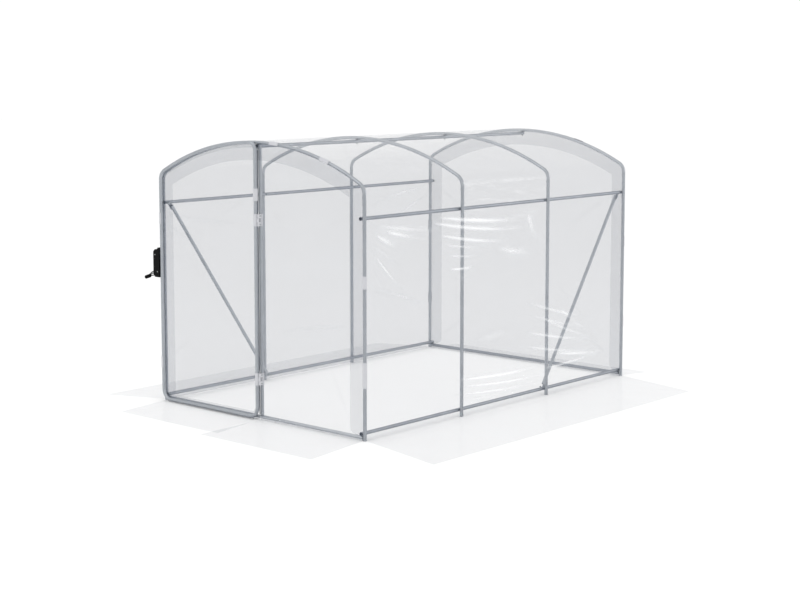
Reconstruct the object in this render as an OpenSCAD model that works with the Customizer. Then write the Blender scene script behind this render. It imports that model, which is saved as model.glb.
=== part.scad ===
// Walk-in polytunnel greenhouse on a galvanised tube frame, with one hinged door leaf.
// X runs across the tunnel, Y along it from the door end, Z up. The sub-parts are drawn
// from the foot of the door end's centre line, and on_plot() then sets them about the
// middle of the ground that the tunnel and its film flaps cover.

/* [Frame] */
// Width between the leg centres
tunnel_w = 2000; // [1600:10:2600]
// Length between the first and the last hoop
tunnel_l = 3000; // [2400:10:4200]
// Height of the arch's centre line at the ridge
ridge_h = 1931; // [1880:1:2200]
// Height at which the straight legs end and the shoulders start
leg_h = 1625; // [1500:1:1700]
// Radius of the bend at each shoulder
shoulder_r = 80; // [60:1:140]
// Outside diameter of every frame tube
tube_d = 25; // [19:0.5:32]
// Wall thickness of the frame tubes
tube_wall = 1.2; // [0.8:0.1:2]
// Height of the side rails
side_rail_h = 1466; // [1200:1:1500]
// Height of the bars across both ends at the ground
ground_bar_h = 20; // [18:1:40]

/* [Door] */
// Distance from the tunnel's centre line to the door's outer upright
door_outer_x = 988; // [700:1:990]
// Distance from the tunnel's centre line to the door's hinged upright
door_inner_x = 12; // [0:1:12]
// Distance of the door's plane in front of the first hoop
door_offset = 34; // [34:1:50]
// Radius of the door's bottom corners
door_corner_r = 70; // [50:1:120]
// Radius of the door's top corner beside the post
door_top_r = 50; // [40:1:80]
// Height of the door's bottom bar
door_bar_h = 19; // [19:1:60]
// Heights of the two hinges
hinge_heights = [290, 1400]; // [200:1:1500]
// Length of a hinge, and of a film clip
clip_l = 85; // [60:1:100]

/* [Film] */
// Thickness of the cover and its flaps
film_t = 1; // [0.6:0.1:2]
// Width of the cover's edge where it is turned round both end hoops
band_w = 120; // [60:1:200]
// Width of the ground flap on the left side
flap_left = 459; // [200:1:700]
// Width of the ground flap on the right side
flap_right = 731; // [300:1:900]
// Depth of the ground flap in front of the fixed half
flap_front = 593; // [300:1:800]
// Depth of the ground flap in front of the door
flap_door = 505; // [300:1:560]
// Depth of the ground flap at the back
flap_back = 260; // [150:1:500]
// How far the side flaps lie skewed towards the door end
flap_skew = 185; // [0:1:250]
// How far the end flaps' outer edges lie towards the right side
flap_shift = 95; // [0:1:150]

/* [Latch] */
// Size of the latch case
latch_size = [66, 31, 204]; // [20:1:260]
// Height of the latch case's middle
latch_h = 1018; // [800:1:1200]

/* [Hidden] */
$fn = 96;
arc_fn = 256;
clear = 0.3;
tube_r = tube_d / 2;
half_w = tunnel_w / 2;
bay = tunnel_l / 3;
galvanised = [0.62, 0.65, 0.68];
film_colour = [0.86, 0.88, 0.90, 0.35];
clip_colour = [0.74, 0.76, 0.77];
black = [0.06, 0.06, 0.07];

// The arch is one arc, tangent to both shoulder arcs, through the ridge height
shoulder_x = half_w - shoulder_r;
rise = ridge_h - leg_h;
arch_r = (shoulder_x ^ 2 + rise ^ 2 - shoulder_r ^ 2) / (2 * (rise - shoulder_r));
arch_z = ridge_h - arch_r;
shoulder_angle = atan2(leg_h - arch_z, shoulder_x);

// Where a tube runs into a bend it laps a little way inside
bend_swell = 0.15;
lap = 1;
lap_angle = lap / arch_r * 180 / PI;

// The centre post clears the ridge rail. Rails lie inside the legs, and the base rails
// on top of the ground bars.
post_offset = tube_d + clear;
rail_x = half_w - tube_d - clear;
brace_x = rail_x - tube_d - clear;
base_rail_h = ground_bar_h + tube_d + clear;
ridge_rail_h = ridge_h - tube_d - clear;
brace_inset = 15;
tab_l = 60;
tab_w = 28;
tab_t = 3;

// Clips and hinge clamps grip a tube over the film
skin = tube_r + clear;
clip_t = 2.5;
clip_r = skin + clip_t;
clip_wrap = 65;

// The film lies on the outside of the tubes, and its edges stop at the clips' lips
film_inset = clip_r * sin(clip_wrap - 45) + 2 * clear;
film_foot = film_t + clear;
gable_y = -skin - film_t;
band_y = gable_y - clear - film_t;
split_lean = 0.034;

// Door frame arcs: the top bar follows the arch, in front of it
door_y = -door_offset;
door_shoulder_x = door_outer_x - shoulder_r;
door_shoulder_z = arch_z + sqrt((arch_r - shoulder_r) ^ 2 - door_shoulder_x ^ 2);
door_shoulder_angle = atan2(door_shoulder_z - arch_z, door_shoulder_x);
door_top_x = door_inner_x - door_top_r;
door_top_z = arch_z + sqrt((arch_r - door_top_r) ^ 2 - door_top_x ^ 2);
door_top_angle = atan2(door_top_z - arch_z, door_top_x);
door_film_y = door_y - skin - film_t;

// Hinges: three knuckles in line on a pin, whose arms run into the post's clamps
arm_bite = 2.6;
hinge_x = post_offset + clip_r - arm_bite;
knuckle_r = 6;
knuckle_l = (clip_l - 7) / 3;
knuckle_step = knuckle_l + 1;
arm_t = 6;
pin_r = 3;
pin_l = clip_l - 5;
pin_clear = 0.05;
post_clip_h = 1575;
door_clip_heights = [290, 1350];
leg_clip_h = 1050;
low_clip_h = 395;
arch_clip_x = [170, 646];
back_clip_heights = [440, 1080];
back_arch_clip_x = 560;

// Latch: the case is beside the door's outer upright
latch_x = -door_outer_x - tube_r - clear - latch_size.x;
latch_back = -20.5;
latch_front = latch_back - latch_size.y;
latch_low = latch_h - latch_size.z / 2;
latch_chamfer = 18;
lug_w = 18;
lug_h = 14;
wire_r = 1.6;
wire_heights = [14, 42];
pull_l = 58;
pull_h = 4;
grip_l = 38;
grip_r = 8;

// Sets a sub-part about the middle of the ground plot
module on_plot() {
    plot_x = (flap_right - flap_left) / 2;
    plot_y = (tunnel_l + flap_back - flap_front) / 2;
    translate([-plot_x, -plot_y, 0]) children();
}

// Solid bar between two points
module bar(from, to, r) {
    run = to - from;
    length = norm(run);
    translate(from) rotate([0, acos(run.z / length), atan2(run.y, run.x)])
        cylinder(h = length, r = r);
}

// Straight tube between two points, open at both ends
module tube_between(from, to) {
    past = (to - from) / norm(to - from);
    difference() {
        bar(from, to, tube_r);
        bar(from - past, to + past, tube_r - tube_wall);
    }
}

// Curve round the Y axis through the origin, from one angle to another above +X. Bent
// tubes are closed at both ends by what they meet, so they are drawn without the bore.
module curve(curve_r, from, to, r) {
    rotate([90, 0, 0]) rotate_extrude(angle = to - from, start = from, $fn = arc_fn)
        translate([curve_r, 0]) circle(r = r, $fn = 48);
}

// Tight bend, which the bender leaves a little fatter than the tube
module bend(bend_r, from, to) {
    curve(bend_r, from, to, tube_r + bend_swell);
}

// Arch of one hoop: two shoulders and the top arc
module arch(y) {
    color(galvanised) on_plot() translate([0, y, 0]) {
        translate([shoulder_x, 0, leg_h]) bend(shoulder_r, 0, shoulder_angle);
        translate([0, 0, arch_z])
            curve(arch_r, shoulder_angle - lap_angle, 180 - shoulder_angle + lap_angle, tube_r);
        translate([-shoulder_x, 0, leg_h]) bend(shoulder_r, 180 - shoulder_angle, 180);
    }
}

// Both straight legs of one hoop, which the arch's ends stand on
module legs(y) {
    color(galvanised) on_plot() for (side = [-1, 1])
        tube_between([side * half_w, y, 0], [side * half_w, y, leg_h]);
}

// Tube along the tunnel, flush with the outside of both end hoops
module rail(x, z) {
    color(galvanised) on_plot() tube_between([x, -tube_r, z], [x, tunnel_l + tube_r, z]);
}

// Bar across one end at the ground, between the legs
module ground_bar(y) {
    reach = half_w - skin;
    color(galvanised) on_plot() tube_between([-reach, y, ground_bar_h], [reach, y, ground_bar_h]);
}

// Diagonal brace with flattened ends, inside the rails of one side
module brace(side, low_y, high_y) {
    run = [0, high_y - low_y, side_rail_h - base_rail_h];
    length = norm(run);
    unit = run / length;
    low = [side * brace_x, low_y, base_rail_h];
    high = low + run;
    color(galvanised) on_plot() {
        tube_between(low + unit * tab_l / 2, high - unit * tab_l / 2);
        for (end = [low, high - unit * tab_l])
            translate(end) rotate([atan2(-unit.y, unit.z), 0, 0])
                translate([side > 0 ? tube_r - tab_t : -tube_r, -tab_w / 2, 0])
                    cube([tab_t, tab_w, tab_l]);
    }
}

module centre_post() {
    foot = ground_bar_h + skin;
    top = arch_z + sqrt((arch_r - skin) ^ 2 - (post_offset + tube_r) ^ 2);
    color(galvanised) on_plot() tube_between([post_offset, 0, foot], [post_offset, 0, top]);
}

// Outline of a hoop, grown by a distance outside the tube's centre line
module hoop_outline(grow) {
    reach = 2 * arch_r;
    translate([-half_w - grow, 0]) square([tunnel_w + 2 * grow, leg_h]);
    for (side = [-1, 1]) translate([side * shoulder_x, leg_h]) circle(r = shoulder_r + grow);
    intersection() {
        translate([0, arch_z]) circle(r = arch_r + grow, $fn = arc_fn);
        translate([0, arch_z]) polygon([
            [0, 0],
            [reach * cos(shoulder_angle), reach * sin(shoulder_angle)],
            [-reach * cos(shoulder_angle), reach * sin(shoulder_angle)],
        ]);
        translate([-half_w, 0]) square([tunnel_w, 2 * ridge_h]);
    }
}

// Upright sheet of film in a plane across the tunnel, starting at y
module sheet_across(y) {
    translate([0, y + film_t, 0]) rotate([90, 0, 0]) linear_extrude(film_t) children();
}

module wall_film(side) {
    length = tunnel_l - 2 * film_inset;
    x = side > 0 ? half_w + skin : -half_w - skin - film_t;
    color(film_colour) on_plot() translate([x, film_inset, film_foot])
        cube([film_t, length, leg_h - film_foot - clear]);
}

module roof_film() {
    length = tunnel_l - 2 * film_inset;
    color(film_colour) on_plot() translate([0, film_inset + length, 0]) rotate([90, 0, 0])
        linear_extrude(length) difference() {
            hoop_outline(skin + film_t);
            hoop_outline(skin);
            translate([-tunnel_w, -1]) square([2 * tunnel_w, leg_h + 1]);
        }
}

// Film over the fixed half of the door end, notched at the hinges
module gable_film_front() {
    notch = hinge_x + arm_t / 2 + clear - post_offset;
    color(film_colour) on_plot() sheet_across(gable_y) difference() {
        intersection() {
            hoop_outline(-film_inset);
            translate([post_offset, film_foot]) square([half_w, ridge_h]);
        }
        for (z = hinge_heights) translate([post_offset - 1, z - clip_l / 2 - clear])
            square([notch + 1, clip_l + 2 * clear]);
    }
}

module gable_film_back() {
    color(film_colour) on_plot() sheet_across(tunnel_l + skin) intersection() {
        hoop_outline(-film_inset);
        translate([-half_w, film_foot]) square([tunnel_w, ridge_h]);
    }
}

// Edge of the cover, turned round an end hoop and lying over the gable
module cover_edge(y) {
    inner = half_w - band_w;
    color(film_colour) on_plot() sheet_across(y) difference() {
        intersection() {
            hoop_outline(-film_inset);
            translate([-half_w, film_foot]) square([tunnel_w, ridge_h]);
        }
        intersection() {
            translate([0, arch_z]) circle(r = arch_r - band_w, $fn = arc_fn);
            translate([-inner, 0]) square([2 * inner, ridge_h]);
        }
    }
}

// Flap of film lying flat on the ground
module flap(corners) {
    color(film_colour) on_plot() linear_extrude(film_t) polygon(corners);
}

module side_flap(side, width) {
    edge = side * (half_w + skin);
    outer = side * (half_w + skin + width);
    flap([
        [edge, film_inset],
        [outer, film_inset - flap_skew],
        [outer, tunnel_l - film_inset - flap_skew],
        [edge, tunnel_l - film_inset],
    ]);
}

// The two front flaps part along a line that leans a little to the right
module flap_front_fixed() {
    flap([
        [post_offset, -skin],
        [half_w, -skin],
        [half_w + flap_shift, -flap_front],
        [post_offset + split_lean * (flap_front - skin), -flap_front],
    ]);
}

// Flap before the door, with the strip that is turned up the ground bar
module flap_front_door() {
    near = post_offset - clear;
    flap([
        [near, -skin],
        [near + split_lean * (flap_door - skin), -flap_door],
        [flap_shift - half_w, -flap_door],
        [-half_w, -skin],
    ]);
    color(film_colour) on_plot() translate([band_w - half_w + clear, gable_y, 0])
        cube([half_w - band_w + near - 2 * clear, film_t, ground_bar_h]);
}

module flap_back_end() {
    edge = tunnel_l + skin;
    outer = tunnel_l + flap_back;
    flap([[-half_w, edge], [half_w, edge], [half_w + flap_shift, outer], [flap_shift - half_w, outer]]);
}

// Section of a clip over a tube, about the given angle
module clip_section(middle) {
    mouth = 4 * clip_r;
    rotate(middle) difference() {
        circle(r = clip_r);
        circle(r = skin);
        polygon([
            [0, 0],
            [mouth * cos(clip_wrap), mouth * sin(clip_wrap)],
            [-mouth, mouth],
            [-mouth, -mouth],
            [mouth * cos(clip_wrap), -mouth * sin(clip_wrap)],
        ]);
    }
}

// Clip on an upright tube
module upright_clip(x, y, z, middle) {
    translate([x, y, z - clip_l / 2]) linear_extrude(clip_l) clip_section(middle);
}

// Clip on an arch, at a distance from the centre line
module arch_clip(x, y, middle) {
    turn = clip_l / arch_r * 180 / PI;
    translate([0, y, arch_z]) rotate([90, 0, 0])
        rotate_extrude(angle = turn, start = acos(x / arch_r) - turn / 2, $fn = arc_fn)
            translate([arch_r, 0]) clip_section(middle);
}

module clips_front_hoop() {
    color(clip_colour) on_plot() {
        upright_clip(-half_w, 0, leg_clip_h + 2 * clip_l, 225);
        for (z = [low_clip_h, low_clip_h + clip_l + clear, leg_clip_h])
            upright_clip(half_w, 0, z, -45);
        for (x = arch_clip_x) arch_clip(x, 0, 45);
    }
}

module clips_back_hoop() {
    color(clip_colour) on_plot() {
        for (z = back_clip_heights) {
            upright_clip(-half_w, tunnel_l, z, 135);
            upright_clip(half_w, tunnel_l, z, 45);
        }
        for (x = [-back_arch_clip_x, back_arch_clip_x]) arch_clip(x, tunnel_l, -45);
    }
}

// Clamp round the post with the two outer knuckles of a hinge
module post_clamp(z) {
    difference() {
        union() {
            translate([post_offset, 0, z - clip_l / 2]) cylinder(h = clip_l, r = clip_r);
            for (step = [-1, 1]) translate([hinge_x, 0, z + step * knuckle_step - knuckle_l / 2]) {
                translate([0, door_y, 0]) cylinder(h = knuckle_l, r = knuckle_r);
                translate([-arm_t / 2, door_y, 0]) cube([arm_t, door_offset - arm_t, knuckle_l]);
            }
        }
        translate([post_offset, 0, z - clip_l]) cylinder(h = 2 * clip_l, r = skin);
        translate([hinge_x, door_y, z - clip_l]) cylinder(h = 2 * clip_l, r = pin_r + pin_clear);
    }
}

module hinge_post_clamps() {
    color(clip_colour) on_plot() for (z = hinge_heights) post_clamp(z);
}

module hinge_pins() {
    color(galvanised) on_plot() for (z = hinge_heights)
        translate([hinge_x, door_y, z - pin_l / 2]) cylinder(h = pin_l, r = pin_r);
}

// Clamp round the door's hinged upright with the middle knuckle of a hinge
module door_clamp(z) {
    translate([0, door_y, z]) difference() {
        union() {
            translate([door_inner_x, 0, -clip_l / 2]) cylinder(h = clip_l, r = clip_r);
            translate([hinge_x, 0, -knuckle_l / 2]) cylinder(h = knuckle_l, r = knuckle_r);
            translate([door_inner_x, -arm_t / 2, -knuckle_l / 2])
                cube([hinge_x - door_inner_x, arm_t, knuckle_l]);
        }
        translate([door_inner_x, 0, -clip_l]) cylinder(h = 2 * clip_l, r = skin);
        translate([hinge_x, 0, -clip_l]) cylinder(h = 2 * clip_l, r = pin_r + pin_clear);
    }
}

module hinge_door_clamps() {
    color(clip_colour) on_plot() for (z = hinge_heights) door_clamp(z);
}

// One tube bent round the whole door leaf
module door_frame() {
    low_z = door_bar_h + door_corner_r;
    corner_x = door_outer_x - door_corner_r;
    inner_corner_x = door_inner_x - door_corner_r;
    color(galvanised) on_plot() translate([0, door_y, 0]) {
        bar([-door_outer_x, 0, low_z - lap], [-door_outer_x, 0, door_shoulder_z + lap], tube_r);
        translate([-door_shoulder_x, 0, door_shoulder_z])
            bend(shoulder_r, 180 - door_shoulder_angle, 180);
        translate([0, 0, arch_z])
            curve(arch_r, door_top_angle - lap_angle, 180 - door_shoulder_angle + lap_angle, tube_r);
        translate([door_top_x, 0, door_top_z]) bend(door_top_r, 0, door_top_angle);
        bar([door_inner_x, 0, low_z - lap], [door_inner_x, 0, door_top_z + lap], tube_r);
        translate([inner_corner_x, 0, low_z]) bend(door_corner_r, 270, 360);
        bar([-corner_x - lap, 0, door_bar_h], [inner_corner_x + lap, 0, door_bar_h], tube_r);
        translate([-corner_x, 0, low_z]) bend(door_corner_r, 180, 270);
    }
}

// Film on the door leaf, notched at the hinge clamps, the clips and the latch
module door_film() {
    edge = film_inset;
    notch = clip_r + clear;
    left = -door_outer_x + edge;
    right = door_inner_x - edge;
    color(film_colour) on_plot() sheet_across(door_film_y) difference() {
        intersection() {
            translate([left, door_bar_h + edge]) square([right - left, ridge_h]);
            translate([0, arch_z]) circle(r = arch_r - edge, $fn = arc_fn);
            union() {
                translate([left, 0]) square([right - left, door_shoulder_z]);
                translate([-door_shoulder_x, 0]) square([door_shoulder_x + door_top_x, 2 * ridge_h]);
                translate([-door_shoulder_x, door_shoulder_z]) circle(r = shoulder_r - edge);
                translate([door_top_x, door_top_z]) circle(r = door_top_r - edge);
                translate([door_top_x, 0]) square([door_top_r - edge, door_top_z]);
            }
            union() {
                translate([left, door_bar_h + door_corner_r]) square([right - left, ridge_h]);
                translate([door_corner_r - door_outer_x, 0])
                    square([door_outer_x + door_inner_x - 2 * door_corner_r, ridge_h]);
                for (x = [door_corner_r - door_outer_x, door_inner_x - door_corner_r])
                    translate([x, door_bar_h + door_corner_r]) circle(r = door_corner_r - edge);
            }
        }
        for (z = hinge_heights) translate([door_inner_x - notch, z - clip_l / 2 - clear])
            square([2 * notch, clip_l + 2 * clear]);
    }
}

module clips_door() {
    color(clip_colour) on_plot() {
        for (z = door_clip_heights) upright_clip(-door_outer_x, door_y, z, 225);
        upright_clip(door_inner_x, door_y, post_clip_h, -45);
    }
}

// Case of the latch, with its corners cut off and a lug on top
module latch_case() {
    w = latch_size.x;
    h = latch_size.z;
    c = latch_chamfer;
    color(black) on_plot() {
        translate([latch_x, latch_back, latch_low]) rotate([90, 0, 0]) linear_extrude(latch_size.y)
            polygon([
                [c, 0],
                [w, 0],
                [w, h + lug_h],
                [w - lug_w, h + lug_h],
                [w - lug_w - clip_t, h],
                [c, h],
                [0, h - c],
                [0, c],
            ]);
    }
}

// Wire pull with its grip, held against the outer side of the latch case
module latch_pull() {
    root = [latch_x - wire_r - clear, (latch_front + latch_back) / 2, latch_low];
    tip = root + [-pull_l, 0, pull_h];
    color(black) on_plot() {
        for (z = wire_heights) bar(root + [0, 0, z + latch_chamfer / 2], tip, wire_r);
        bar(tip + [grip_l / 2, 0, 0], tip - [grip_l / 2, 0, 0], grip_r);
    }
}

// Keeper clipped on the first left leg, behind the latch case
module latch_keeper() {
    reach = 40;
    root = 4;
    keeper_l = 50;
    color(black) on_plot() translate([-half_w, 0, latch_h - keeper_l / 2]) linear_extrude(keeper_l) {
        clip_section(225);
        translate([-skin - reach, -clip_r]) square([reach + skin - root, clip_t]);
    }
}

arch(0);  // arch_1
arch(bay);  // arch_2
arch(2 * bay);  // arch_3
arch(3 * bay);  // arch_4
legs(0);  // legs_1
legs(bay);  // legs_2
legs(2 * bay);  // legs_3
legs(3 * bay);  // legs_4
rail(-rail_x, base_rail_h);  // base_rail_left
rail(rail_x, base_rail_h);  // base_rail_right
rail(-rail_x, side_rail_h);  // side_rail_left
rail(rail_x, side_rail_h);  // side_rail_right
rail(0, ridge_rail_h);  // ridge_rail
ground_bar(0);  // ground_bar_front
ground_bar(tunnel_l);  // ground_bar_back
brace(-1, bay - brace_inset, brace_inset);  // brace_left
brace(1, 2 * bay + brace_inset, tunnel_l - brace_inset);  // brace_right
centre_post();
wall_film(-1);  // wall_film_left
wall_film(1);  // wall_film_right
roof_film();
gable_film_front();
gable_film_back();
cover_edge(band_y);  // cover_edge_front
cover_edge(tunnel_l + skin + film_t + clear);  // cover_edge_back
side_flap(-1, flap_left);  // flap_left_side
side_flap(1, flap_right);  // flap_right_side
flap_front_fixed();
flap_front_door();
flap_back_end();
clips_front_hoop();
clips_back_hoop();
hinge_post_clamps();
hinge_pins();
latch_keeper();
door_frame();
door_film();
clips_door();
hinge_door_clamps();
latch_case();
latch_pull();
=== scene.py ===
import math

import bpy
import numpy as np
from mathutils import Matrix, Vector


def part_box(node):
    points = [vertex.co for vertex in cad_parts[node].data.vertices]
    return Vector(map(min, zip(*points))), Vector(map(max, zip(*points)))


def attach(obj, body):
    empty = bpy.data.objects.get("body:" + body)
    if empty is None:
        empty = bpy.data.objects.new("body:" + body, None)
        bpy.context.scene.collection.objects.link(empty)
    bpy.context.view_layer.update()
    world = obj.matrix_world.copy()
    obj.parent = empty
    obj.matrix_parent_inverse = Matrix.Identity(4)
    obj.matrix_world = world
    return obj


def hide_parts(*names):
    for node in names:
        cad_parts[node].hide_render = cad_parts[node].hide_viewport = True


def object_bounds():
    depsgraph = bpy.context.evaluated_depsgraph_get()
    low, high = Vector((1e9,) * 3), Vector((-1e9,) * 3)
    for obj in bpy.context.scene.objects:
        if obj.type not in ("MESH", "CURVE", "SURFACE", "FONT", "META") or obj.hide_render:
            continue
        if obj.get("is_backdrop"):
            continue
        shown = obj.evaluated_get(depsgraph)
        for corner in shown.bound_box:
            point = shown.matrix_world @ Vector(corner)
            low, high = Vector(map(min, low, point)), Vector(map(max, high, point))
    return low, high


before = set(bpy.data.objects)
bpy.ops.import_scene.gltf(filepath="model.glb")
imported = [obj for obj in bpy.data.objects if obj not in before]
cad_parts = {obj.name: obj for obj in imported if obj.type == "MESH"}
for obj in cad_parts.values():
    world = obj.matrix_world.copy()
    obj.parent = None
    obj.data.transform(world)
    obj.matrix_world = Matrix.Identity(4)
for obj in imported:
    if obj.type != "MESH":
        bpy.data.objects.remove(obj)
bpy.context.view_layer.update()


# ---- Studio ---------------------------------------------------------------------------
# A pale floor under an even white sky, one large soft lamp over the door end, and a
# long lamp low behind the right wall, which the creases in the film catch.

def linear(code):
    """An sRGB hex colour as linear red, green, blue and 1: c/12.92 up to 0.04045, and above it ((c
    + 0.055)/1.055)^2.4."""
    c = np.array([int(code[i:i + 2], 16) for i in (0, 2, 4)]) / 255
    return tuple(np.where(c <= 0.04045, c / 12.92, ((c + 0.055) / 1.055) ** 2.4)) + (1.0,)


def add(tree, kind, inputs={}, **settings):
    """A shader node with its own settings; inputs gives its sockets, each a plain value or the
    output that feeds it."""
    made = tree.nodes.new("ShaderNode" + kind)
    for name, value in settings.items():
        setattr(made, name, value)
    for name, value in inputs.items():
        if isinstance(value, bpy.types.NodeSocket):
            tree.links.new(value, made.inputs[name])
        else:
            made.inputs[name].default_value = value
    return made


def new_material(name):
    """An empty node material, its tree and its object coordinates."""
    made = bpy.data.materials.new(name)
    made.use_nodes = True
    made.node_tree.nodes.clear()
    return made, made.node_tree, add(made.node_tree, "TexCoord").outputs["Object"]


def finish_with(tree, shader):
    add(tree, "OutputMaterial", {"Surface": shader.outputs["BSDF"]})


def two_tone(tree, value, dark, light, start=0.0, end=1.0):
    """A ramp from the dark colour to the light one, as the value goes from start to end; returns
    its colour."""
    ramp = add(tree, "ValToRGB", {"Fac": value})
    for element, spot, code in zip(ramp.color_ramp.elements, (start, end), (dark, light)):
        element.position, element.color = spot, linear(code)
    return ramp.outputs["Color"]


def grid_faces(rows, columns, first=0):
    """Four-sided faces of a rows by columns grid of points: each corner, its right, its upper right
    and its upper neighbour."""
    corner = first + (np.arange(rows - 1)[:, None] * columns + np.arange(columns - 1)).ravel()
    return np.stack([corner, corner + 1, corner + columns + 1, corner + columns], axis=1)


def new_piece(name, points, faces, material, body="tunnel", smooth=True):
    """A mesh piece from whole arrays of points and faces (one array, or several of different corner
    counts)."""
    mesh = bpy.data.meshes.new(name)
    lists = [faces] if isinstance(faces, np.ndarray) else faces
    mesh.from_pydata(np.asarray(points, float).reshape(-1, 3), [], [f for part in lists for f in part.tolist()])
    mesh.polygons.foreach_set("use_smooth", np.full(len(mesh.polygons), smooth))
    mesh.materials.append(material)
    piece = bpy.data.objects.new(name, mesh)
    bpy.context.scene.collection.objects.link(piece)
    if body:
        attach(piece, body)
    return piece


# Matt white paint: an even pale ground, with clouds over a metre wide that hardly show
floor_paint, tree, place = new_material("pale_studio_floor")
mottle = add(tree, "TexNoise", {"Vector": place, "Scale": 0.7, "Detail": 3.0})
finish_with(tree, add(tree, "BsdfPrincipled", {
    "Base Color": two_tone(tree, mottle.outputs["Fac"], "fcfcfc", "fefefe"),
    "Roughness": 0.9, "Specular IOR Level": 0.1}))

# The floor lies half a millimetre under the feet, and runs past all that is seen
floor_reach, floor_drop, floor_lines = 60.0, 0.0005, 9
side = np.linspace(-floor_reach, floor_reach, floor_lines)
across, along = np.meshgrid(side, side)
points = np.stack([across, along, 0 * across - floor_drop], axis=-1)
floor = new_piece("studio_floor", points, grid_faces(floor_lines, floor_lines), floor_paint, body=None)
floor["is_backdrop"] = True

sky = bpy.data.worlds.new("white_studio")
sky.use_nodes = True
even_white = sky.node_tree.nodes["Background"]
even_white.inputs["Color"].default_value = linear("ffffff")
even_white.inputs["Strength"].default_value = 1.04
bpy.context.scene.world = sky
bpy.context.scene.view_settings.view_transform = "Standard"


def lamp(name, place, target, width, height, power):
    """A lamp of width by height metres at a place, turned to its target. The camera doesn't see it."""
    made = bpy.data.lights.new(name, "AREA")
    made.shape, made.size, made.size_y, made.energy = "RECTANGLE", width, height, power
    piece = bpy.data.objects.new(name, made)
    piece.location = place
    aim = np.array(target, float) - place
    piece.rotation_euler = (math.acos(-aim[2] / np.linalg.norm(aim)), 0, math.atan2(-aim[0], aim[1]))
    piece.visible_camera = False
    bpy.context.scene.collection.objects.link(piece)


lamp("soft_lamp", (-2.0, -7.0, 7.5), (0, 0, 0.8), 5.0, 5.0, 60)
lamp("low_lamp", (6.5, 7.5, 3.2), (0.9, 0, 0.9), 0.5, 3.0, 75)

# The camera looks down 6 degrees at the door end's right corner; the small shift keeps
# the uprights nearly plumb
lens = bpy.data.cameras.new("camera")
lens.sensor_width, lens.lens, lens.shift_y = 36.0, 71.212, -0.07
camera = bpy.data.objects.new("camera", lens)
camera.location = (7.802, -8.810, 2.429)
camera.rotation_euler = (math.radians(90 - 6.296), 0, math.radians(41.567))
bpy.context.scene.collection.objects.link(camera)
bpy.context.scene.camera = camera


# ---- Galvanised tubes -----------------------------------------------------------------
# Hoops, rails, post, braces and ground bars are 25 mm steel tube, galvanised before it
# was bent. All are one zinc, painted in four tones that stand in for light and shade:
# lighter on the arches and the door's frame, a mid tone on the legs, braces and post,
# darker and rougher on the rails, and lightest on the bar under the door.

def galvanised(name, dark, light, rough):
    """Zinc: crystals 4 mm across over clouds of dulling 110 mm wide, with a grain of 2.4 mm in the
    bump. The grain is drawn several times too coarse, so that it shows."""
    made, tree, place = new_material(name)
    crystals = add(tree, "TexVoronoi", {"Vector": place, "Scale": 260.0, "Randomness": 1.0})
    clouds = add(tree, "TexNoise", {"Vector": place, "Scale": 9.0, "Detail": 5.0, "Roughness": 0.6})
    both = add(tree, "Mix", {
        "Factor": 0.7, "A": crystals.outputs["Color"], "B": clouds.outputs["Color"]}, data_type="RGBA")
    grey = add(tree, "RGBToBW", {"Color": both.outputs["Result"]})
    zinc = two_tone(tree, grey.outputs["Val"], dark, light, 0.28, 0.72)
    dull = add(tree, "MapRange", {
        "Value": clouds.outputs["Fac"], "From Min": 0.3, "From Max": 0.7,
        "To Min": rough - 0.06, "To Max": rough + 0.08})
    grain = add(tree, "TexNoise", {"Vector": place, "Scale": 420.0, "Detail": 2.0})
    relief = add(tree, "Bump", {"Height": grain.outputs["Fac"], "Strength": 0.25, "Distance": 0.0006})
    finish_with(tree, add(tree, "BsdfPrincipled", {
        "Base Color": zinc, "Metallic": 1.0, "Roughness": dull.outputs["Result"],
        "Normal": relief.outputs["Normal"]}))
    return made


def finish_nodes(material, *names):
    for name in names:
        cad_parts[name].data.materials.clear()
        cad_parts[name].data.materials.append(material)


# Zinc painted lighter, as painted light, on the arches and the door's tube
zinc_painted_light = galvanised("galvanised_steel_painted_light", "b2b6ba", "c8ccd0", 0.34)
# Zinc painted darker, as painted shade, on the straight tubes
zinc_painted_dark = galvanised("galvanised_steel_painted_dark", "999da3", "b0b4ba", 0.42)
# Zinc painted a mid tone, between the two, on the legs, braces and post
zinc_painted_mid = galvanised("galvanised_steel_painted_mid", "a8acb1", "bfc3c7", 0.40)
# Zinc painted lightest, as painted light, on the bar under the door
zinc_painted_brightest = galvanised("galvanised_steel_painted_brightest", "c3c7cb", "d9dcdf", 0.32)
finish_nodes(zinc_painted_light, "arch_1", "arch_2", "arch_3", "arch_4", "door_frame", "hinge_pins")
finish_nodes(zinc_painted_brightest, "ground_bar_front")
finish_nodes(zinc_painted_mid, "legs_1", "legs_2", "legs_3", "legs_4", "brace_left", "brace_right", "centre_post")
finish_nodes(
    zinc_painted_dark, "base_rail_left", "base_rail_right", "side_rail_left", "side_rail_right", "ridge_rail",
    "ground_bar_back")


# ---- Rail bolts -----------------------------------------------------------------------
# Every rail is bolted through the hoop it crosses: an M6 zinc-plated bolt, whose washer
# and hexagon nut show on the inner side, with a little of the thread past the nut.

leg_boxes = [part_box(f"legs_{n}") for n in (1, 2, 3, 4)]
tube_r = (leg_boxes[0][1].y - leg_boxes[0][0].y) / 2
middle = (leg_boxes[0][0].x + leg_boxes[0][1].x) / 2
half_w = (leg_boxes[0][1].x - leg_boxes[0][0].x) / 2 - tube_r
hoop_y = np.array([(low.y + high.y) / 2 for low, high in leg_boxes])
leg_top = leg_boxes[0][1].z


def ring_faces(rings, around):
    """Four-sided faces between closed rings of points: a point, its neighbour round the ring, and
    the two beside them on the next ring."""
    start = np.arange(rings - 1)[:, None] * around
    point = np.arange(around)
    beside = (point + 1) % around
    corners = [start + point, start + beside, start + around + beside, start + around + point]
    return np.stack(corners, axis=-1).reshape(-1, 4)


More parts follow.
